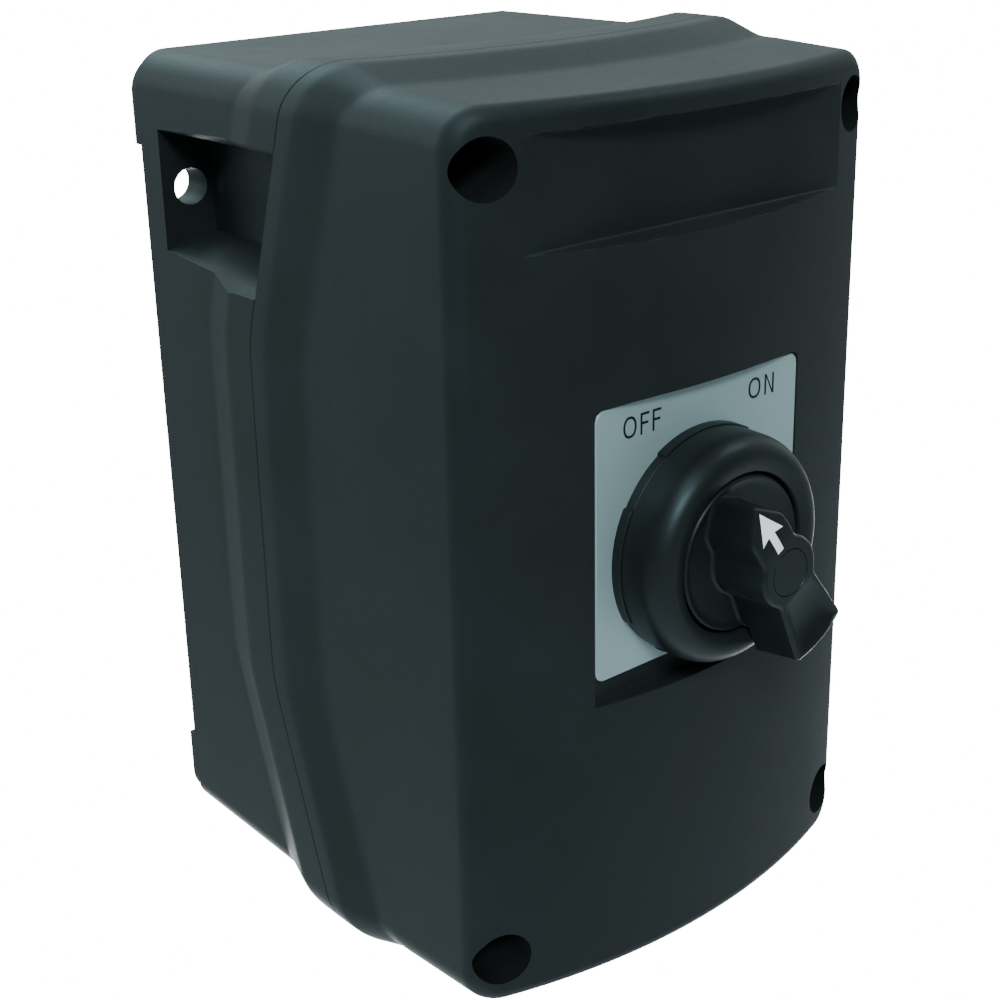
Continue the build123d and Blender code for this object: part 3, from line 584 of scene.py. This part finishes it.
# Satin anodising: pale, cool and even, without the mirror of bare metal.
satin = finish("satin_anodised", "#7e8f92", "#879a9d", (0.42, 0.50), 0.35, 0.004, 30.0, 0.35)
plate = mesh_piece("plate_satin", plate_patches(), satin)
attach(plate, "cover")
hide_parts("legend_plate")

# ================================================================ 4. legend lettering
# OFF and ON in thin dark capitals, screen printed on the plate 0.03 thick: OFF where the
# pointer stands with the contacts open and ON where it stands with them closed.

INK_D, INK_T, STROKE, CAP_Z0, CAP_H = PLATE_D1 - 0.005, 0.03, 0.42, 21.95, 3.7


def stroke_patches(corners):
    """A thin four-sided stroke of ink from its corners (x, z), in order round it."""
    a, b, c, e = (np.array(v, float) for v in corners)

    def place(u, v, w):
        x, z = ((1 - u) * ((1 - w) * a[k] + w * e[k]) + u * ((1 - w) * b[k] + w * c[k]) for k in (0, 1))
        return x, INK_D + v * INK_T, z

    return cells(place, (1, 1, 1))


def letter_o(x0, width):
    """An oval ring of ink, a little squarer than an ellipse."""
    turn = np.linspace(0, 2 * math.pi, 96, endpoint=False)
    cos, sin = np.cos(turn), np.sin(turn)
    square = (np.abs(cos) ** 2.25 + np.abs(sin) ** 2.25) ** (-1 / 2.25)
    rings = []
    for inset, lift in ((0, 0), (0, INK_T), (STROKE, INK_T), (STROKE, 0), (0, 0)):
        x = x0 + width / 2 + (width / 2 - inset) * cos * square
        z = CAP_Z0 + CAP_H / 2 + (CAP_H / 2 - inset) * sin * square
        rings.append(np.stack([x, INK_D + lift + 0 * x, z], -1))
    return [(np.stack(rings), grid_faces(len(rings), len(turn), True))]


def letter_f(x0, width):
    """Stem, top arm and middle arm."""
    z0, z1, mid = CAP_Z0, CAP_Z0 + CAP_H, CAP_Z0 + 0.46 * CAP_H
    stem, end = x0 + STROKE, x0 + width
    boxes = [(x0, z0, stem, z1), (stem, z1 - STROKE, end, z1), (stem, mid, end - 0.25, mid + STROKE)]
    return [p for a, b, c, e in boxes for p in stroke_patches([(a, b), (c, b), (c, e), (a, e)])]


def letter_n(x0, width):
    """Two stems and the diagonal between them."""
    z0, z1, slant = CAP_Z0, CAP_Z0 + CAP_H, 0.62
    left, right, end = x0 + STROKE, x0 + width - STROKE, x0 + width
    shapes = [
        [(x0, z0), (left, z0), (left, z1), (x0, z1)],
        [(right, z0), (end, z0), (end, z1), (right, z1)],
        [(left, z1 - slant), (right, z0), (right, z0 + slant), (left, z1)],
    ]
    return [p for shape in shapes for p in stroke_patches(shape)]


# Matt screen-printing ink, nearly black.
ink = finish("printing_ink", "#0a0c0d", "#101314", (0.55, 0.65), 0.2, 0.003, 3.0, Specular_IOR_Level=0.15)
# Each letter from its left edge and width, either side of the handle's axis.
words = {
    "legend_off": letter_o(-17.95, 2.95) + letter_f(-14.1, 2.0) + letter_f(-11.35, 2.0),
    "legend_on": letter_o(11.7, 3.0) + letter_n(15.75, 2.35),
}
for name, patches in words.items():
    word = mesh_piece(name, patches, ink)
    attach(word, "cover")

# ================================================================ 5. handle bezel
# Black nylon in two pieces: a thin flange with four lugs and a collar through the cover,
# and a thick ring with a full, rounded crown that shrouds the handle's disc.

FLANGE_D, FLANGE_R, LUG, LUG_DEG = 101.11, 20.05, 0.45, 30.25
COLLAR_R, COLLAR_BORE, COLLAR_D = 11.0, 8.05, 88.0


def flange_patches():
    """The flange and collar; its radius grows by the lugs, LUG_DEG either side of each axis."""
    turn = np.linspace(0, 2 * math.pi, 720, endpoint=False)
    from_axis = np.abs((np.degrees(turn) + 45) % 90 - 45)
    lug = FLANGE_R + LUG * np.clip((LUG_DEG - from_axis) / 0.5, 0, 1)
    top, edge = FLANGE_D - 0.02, 0.15
    profile = [
        (COLLAR_BORE, COLLAR_D), (COLLAR_R, COLLAR_D), (COLLAR_R, PLATE_D1), (lug, PLATE_D1),
        (lug, FLANGE_D - edge), (lug - edge, top), (14.0, top), (COLLAR_BORE, top), (COLLAR_BORE, COLLAR_D),
    ]  # fmt: skip
    rings = [np.stack([r * np.cos(turn), d + 0 * turn, r * np.sin(turn)], -1) for r, d in profile]
    return [(np.stack(rings), grid_faces(len(rings), len(turn), True))]


def ring_profile():
    """Side, crown and dished front of the ring; the crown is a quarter of an ellipse."""
    turn = np.radians(np.linspace(0, 90, 25))
    crown = list(zip(16.6 + 3.55 * np.cos(turn), 105.4 + 4.6 * np.sin(turn)))
    dish = [(16.1, 109.98), (15.6, 109.88), (15.1, 109.74), (14.7, 109.62), (14.45, 109.5), (14.25, 109.3)]
    side = [(20.0, FLANGE_D), (20.2, FLANGE_D + 0.2), (20.19, 103.2)]
    return [*side, *crown, *dish, (14.15, 109.0), (14.15, FLANGE_D), side[0]]


# Glass-filled nylon with a satin mould finish, a little glossier than the box.
bezel = finish("nylon_satin_black", "#121314", "#17191a", (0.36, 0.44), 0.3, 0.004, **SHEEN)
flange = mesh_piece("bezel_flange", flange_patches(), bezel)
ring = mesh_piece("bezel_crown", spun_patches(0, 0, ring_profile(), 256), bezel)
for piece, node in ((flange, "bezel_base"), (ring, "bezel_ring")):
    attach(piece, "cover")
    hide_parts(node)

# ================================================================ 6. handle
# The knob that turns the switch, moulded in black nylon: a disc with a raised lip, and on
# it a grip with a pointer, a round boss and a tail hollowed for the thumb. Its hub runs
# in the bezel's collar. At rest the pointer stands 30 degrees left of upright, at OFF.

GRIP_TOP, GRIP_UNDER, DISC_D = 120.0, 110.6, 108.95
GRIP_EDGE, FILLET = 0.8, 0.75
REST = math.radians(30.0)


def grip_outline(tip, shoulder, waist, boss_r, joint, corner, end_r):
    """Half of the grip's outline, from tip to tail, and its mirror image, as one line.

    u runs along the pointer and v across it; the line is smoothed to round its corners.
    """

    def line(start, stop, steps):
        return np.linspace(start, stop, steps, endpoint=False)

    def arc(radius, start, stop, steps):
        angle = line(math.atan2(start[1], start[0]), math.atan2(stop[1], stop[0]), steps)
        return np.stack([radius * np.cos(angle), radius * np.sin(angle)], -1)

    half = np.concatenate([
        line((tip, 0.0), shoulder, 30), line(shoulder, waist, 16), arc(boss_r, waist, joint, 40),
        line(joint, corner, 44), arc(end_r, corner, (-1.0, 0.0), 30), [(-end_r, 0.0)],
    ])  # fmt: skip
    whole = np.concatenate([half, half[-2:0:-1] * (1, -1)])
    for _ in range(8):
        whole = (np.roll(whole, 1, 0) + 2 * whole + np.roll(whole, -1, 0)) / 4
    return whole


def outward(line):
    """Unit normals of a closed line, pointing out of it."""
    along = np.roll(line, -1, 0) - np.roll(line, 1, 0)
    normal = np.stack([along[:, 1], -along[:, 0]], -1)
    normal *= np.sign(np.sum(normal * (line - line.mean(0))))
    return normal / np.linalg.norm(normal, axis=1)[:, None]


def grip_height(u, share):
    """Height of the grip's front: the sloped nose, the flat boss and the hollow tail.

    share is the distance from the middle, as a share of the half width.
    """
    nose = -0.15 * soft_step(u - 6.2, 1.0)
    t = np.clip((-4.5 - u) / 12.2, 0, 1)
    falling = 1 - np.abs(1 - t / 0.62) ** 1.8
    rising = 1 - (np.clip(t - 0.62, 0, 1) / 0.38) ** 2.2
    return GRIP_TOP + nose - 1.35 * np.where(t < 0.62, falling, rising) * (1 - np.abs(share) ** 6)


def grip_patches():
    """The grip: front, rounded edge, drafted side, filleted foot and underside."""
    top = grip_outline(15.0, (9.9, 4.1), (5.3, 4.25), 6.3, (-4.4, 4.55), (-16.5, 6.15), 17.6)
    foot = grip_outline(13.7, (8.8, 4.65), (5.2, 4.85), 6.85, (-5.0, 5.2), (-17.9, 6.7), 19.0)
    push_top, push_foot = outward(top), outward(foot)
    edge_r, rings = GRIP_EDGE, []
    inner = top - edge_r * push_top
    half = np.maximum(np.abs(inner[:, 1]), 1e-6)

    def ring(u, v, d):
        rings.append(np.stack([u, v, d], -1))

    for share in np.linspace(0, 1, 17):
        ring(inner[:, 0], inner[:, 1] * share, grip_height(inner[:, 0], share + 0 * half))
    for angle in np.radians(np.linspace(15, 90, 6)):
        line = inner + edge_r * math.sin(angle) * push_top
        ring(line[:, 0], line[:, 1], grip_height(inner[:, 0], 1 + 0 * half) - edge_r * (1 - math.cos(angle)))
    over_disc = np.clip((13.35 - np.hypot(*foot.T)) / 0.5, 0, 1)
    lowest_d = GRIP_UNDER + (DISC_D + FILLET - GRIP_UNDER) * over_disc
    start = rings[-1][:, 2]
    for share in np.linspace(0, 1, 9)[1:]:
        line = top + (foot - top) * share
        ring(line[:, 0], line[:, 1], start + (lowest_d - start) * share)
    for angle in np.radians(np.linspace(18, 90, 5)):
        out = 0.7 * (1 - math.cos(angle)) * over_disc
        line = foot + push_foot * out[:, None]
        reach = np.minimum(1, 13.3 / np.maximum(np.hypot(*line.T), 1e-6))
        line = np.where((over_disc > 0)[:, None], line * reach[:, None], line)
        ring(line[:, 0], line[:, 1], lowest_d - math.sin(angle) * (FILLET * over_disc + 0.02))
    last = rings[-1]
    ring(last[:, 0], last[:, 1], last[:, 2] - 0.6 * over_disc)
    for share in (0.5, 0.0):
        ring(last[:, 0], last[:, 1] * share, rings[-1][:, 2])
    u, v, d = np.moveaxis(np.stack(rings), -1, 0)
    x, z = v * math.cos(REST) - u * math.sin(REST), u * math.cos(REST) + v * math.sin(REST)
    return [(np.stack([x, d, z], -1), grid_faces(len(rings), len(top), True))]


def disc_profile():
    """Hub, back and raised lip of the disc, from the axis and back to it."""
    lip = [(13.72, 108.6), (13.66, 108.95), (13.5, 109.22), (13.25, 109.36), (12.98, 109.3)]
    dish = [(12.7, 109.12), (12.35, DISC_D + 0.02), (11.8, DISC_D - 0.03), (8.0, DISC_D), (0.0, DISC_D)]
    return [(0, 86), (8.0, 86), (8.0, 101.6), (13.6, 101.6), (13.72, 101.8), *lip, *dish]


# The same nylon, slightly darker.
knob_black = finish("nylon_black_knob", "#101112", "#141617", (0.36, 0.44), 0.3, 0.004, **SHEEN)
knob = mesh_piece("knob_body", spun_patches(0, 0, disc_profile(), 256), knob_black)
combine(knob, mesh_piece("grip", grip_patches(), knob_black), "UNION")
pocket = [(0, 118.35), (4.13, 118.35), (4.13, 119.86), (4.3, 120.05), (4.3, 121), (0, 121)]
combine(knob, mesh_piece("pocket", spun_patches(0, 0, pocket, 128), knob_black), "DIFFERENCE")
socket = rod_patches(0, 0, 5.5, 80.0, 106.0)
combine(knob, mesh_piece("socket", socket, knob_black), "DIFFERENCE")
groove = [(6.9, 92), (9.0, 92), (9.0, 94.2), (6.9, 94.2), (6.9, 92)]
combine(knob, mesh_piece("seal_groove", spun_patches(0, 0, groove, 96), knob_black), "DIFFERENCE")
cap_line = [(0, 118.4), (4.05, 118.4), (4.05, 119.86), (3.92, 119.97), (0, 119.98)]
cap = mesh_piece("cap_round", spun_patches(0, 0, cap_line, 128), knob_black)
for piece, node in ((knob, "handle_knob"), (cap, "knob_cap")):
    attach(piece, "handle")
    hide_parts(node)

# ================================================================ 7. arrow
# A white nylon arrow let into the pointer's front, flush with it.


def arrow_patches():
    """The arrow: across it v runs between the barbs, and u from its rear edge to its front."""
    key = np.array([-2.6, -0.74, -0.73, 0.0, 0.73, 0.74, 2.6])
    rear = np.array([8.5, 9.05, 5.25, 5.25, 5.25, 9.05, 8.5])
    lead = np.array([8.5, 12.2, 12.22, 13.75, 12.22, 12.2, 8.5])

    def place(a, b, c):
        v = np.interp(a, np.linspace(0, 1, 7), key)
        low, high = np.interp(v, key, rear), np.interp(v, key, lead)
        u = low + c * (high - low)
        d = grip_height(u, 0 * u) + 0.02 - 0.5 * (1 - b)
        return v * math.cos(REST) - u * math.sin(REST), d, u * math.cos(REST) + v * math.sin(REST)

    return cells(place, (6, 1, 8))


# White nylon, moulded separately and pressed in.
white = finish("nylon_white", "#dfe4e4", "#eef2f2", (0.40, 0.48), 0.3, 0.003, 4.0)
arrow = mesh_piece("arrow_white", arrow_patches(), white)
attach(arrow, "handle")
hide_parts("arrow_inlay")

# ================================================================ 8. pieces inside
# What shows when the cover is off: the cam switch on its steel plate, the terminals, the
# earth bar, gaskets and screws. Their shapes are the model's own; each gets its finish:
# foam cord and rubber rings, bright zinc on pressed steel, turned brass, silvered copper
# blades, grey and dark thermoset for the decks and drums, natural nylon for the index parts.

inside = {
    "gasket": finish("foam_rubber", "#15181a", "#1e2224", (0.85, 0.95), 0.6, 0.05, 6.0),
    "steel": finish("zinc_plated_steel", "#9aa0a6", "#b3b8bc", (0.30, 0.42), 0.5, 0.006, 5.0, 1.0),
    "brass": finish("brass_turned", "#a98544", "#c09c5a", (0.28, 0.40), 0.4, 0.005, 6.0, 1.0),
    "copper": finish("copper_silvered", "#b58a76", "#c9a692", (0.28, 0.38), 0.4, 0.004, 5.0, 1.0),
    "deck": finish("thermoset_grey", "#6f716b", "#7d7f79", (0.52, 0.62), 0.5, 0.012, 14.0),
    "drum": finish("thermoset_dark", "#2b2b2d", "#37373a", (0.45, 0.55), 0.5, 0.010, 8.0),
    "index": finish("nylon_natural", "#cfc9b4", "#ddd8c6", (0.42, 0.52), 0.6, 0.008, 9.0),
}
for subpart in frame["record"]["subparts"]:
    node = frame["nodes"][subpart["node"]]
    if not node.hide_render:
        node.data.materials.clear()
        node.data.materials.append(inside[subpart["material_slot"]])

# ================================================================ 9. floor, light, camera
# A pale floor well below the switch, which hangs as on its wall, and a soft studio: a broad
# light above and behind, a key light high behind the camera, one at the left rear, and two
# small ones for the sheen on the bezel's crown and on the cover's top edge.

AHEAD = (0.648, 0.762, 0)

# Matt white paint.
pale = finish("floor_pale", "#f4f5f5", "#fafbfb", (0.85, 0.95), 2.0, 0.005, 900.0)
floor = mesh_piece("floor", bar_patches((-20000, 20000), (-20000, 20000), (-602, -600)), pale)


def glow(tree, where, axis, low, high, start, end):
    """A value that rises from low to high between two places along an axis."""
    ahead = add(tree, "VectorMath", {0: where, 1: axis}, operation="DOT_PRODUCT")
    return ramp(tree, ahead.outputs["Value"], low, high, start, end)


# The floor glows only behind the switch, in the wedge that the camera sees.
tree = pale.node_tree
shader = next(n for n in tree.nodes if n.type == "BSDF_PRINCIPLED")
where = next(n for n in tree.nodes if n.type == "TEX_COORD").outputs["Object"]
shader.inputs["Emission Color"].default_value = linear("#ffffff")
level = glow(tree, where, AHEAD, 0.0, 16.0, 0.25, 0.55)
for axis, start, end in (((0.927, -0.375, 0), -0.30, -0.12), ((-0.53, 0.848, 0), -0.40, -0.18)):
    edge = glow(tree, where, axis, 0.0, 1.0, start, end)
    level = add(tree, "Math", {0: level, 1: edge}, operation="MULTIPLY").outputs["Value"]
tree.links.new(level, shader.inputs["Emission Strength"])
world = bpy.data.worlds.new("studio")
bpy.context.scene.world = world
world.use_nodes = True
sky = world.node_tree
ground = sky.nodes["Background"]
ground.inputs["Color"].default_value = linear("#e6f6f8")
toward = add(sky, "TexCoord").outputs["Generated"]
sky.links.new(glow(sky, toward, AHEAD, 0.10, 1.3, -0.3, 0.9), ground.inputs["Strength"])


def softbox(name, place, aim, size, power, code="#e6f6f8"):
    """A square area light at a place in metres, turned towards aim."""
    lamp = bpy.data.lights.new(name, "AREA")
    lamp.size, lamp.energy, lamp.color = size, power, linear(code)[:3]
    holder = bpy.data.objects.new(name, lamp)
    bpy.context.scene.collection.objects.link(holder)
    holder.location = place
    holder.rotation_euler = (Vector(aim) - Vector(place)).to_track_quat("-Z", "Y").to_euler()


softbox("light_top", (-0.10, 0.45, 0.70), (0, -0.04, 0.05), 0.7, 9.5, "#cfeff4")
softbox("light_key", (-0.55, -0.85, 0.75), (0, -0.1, 0), 0.3, 20.0)
softbox("light_left", (-0.72, 0.55, 0.25), (-0.04, -0.03, 0), 0.5, 4.6)
softbox("light_crown", (-0.38, -0.32, 0.80), (0, -0.11, 0.01), 0.32, 3.2)
softbox("light_edge", (0.52, -0.30, 0.72), (0, -0.09, 0.07), 0.25, 2.0)

# The camera looks down from the front left, with its picture plane shifted off centre.
azimuth, elevation, roll = (math.radians(v) for v in (-40.376, 20.103, -1.048))
back = np.array([
    math.sin(azimuth) * math.cos(elevation), -math.cos(azimuth) * math.cos(elevation), math.sin(elevation),
])  # fmt: skip
sideways = np.array([math.cos(azimuth), math.sin(azimuth), 0.0])
upright = np.cross(back, sideways)
across = sideways * math.cos(roll) + upright * math.sin(roll)
upward = -sideways * math.sin(roll) + upright * math.cos(roll)
lens = bpy.data.cameras.new("camera")
lens.lens, lens.sensor_width, lens.shift_x, lens.shift_y = 63.18, 36.0, -0.0175, -0.0509
lens.clip_start, lens.clip_end = 0.02, 60.0
camera = bpy.data.objects.new("camera", lens)
bpy.context.scene.collection.objects.link(camera)
pose = np.eye(4)
pose[:3, :3] = np.stack([across, upward, back], 1)
pose[:3, 3] = (-0.20286, -0.28861, 0.11794)
camera.matrix_world = Matrix(pose.tolist())
bpy.context.scene.camera = camera
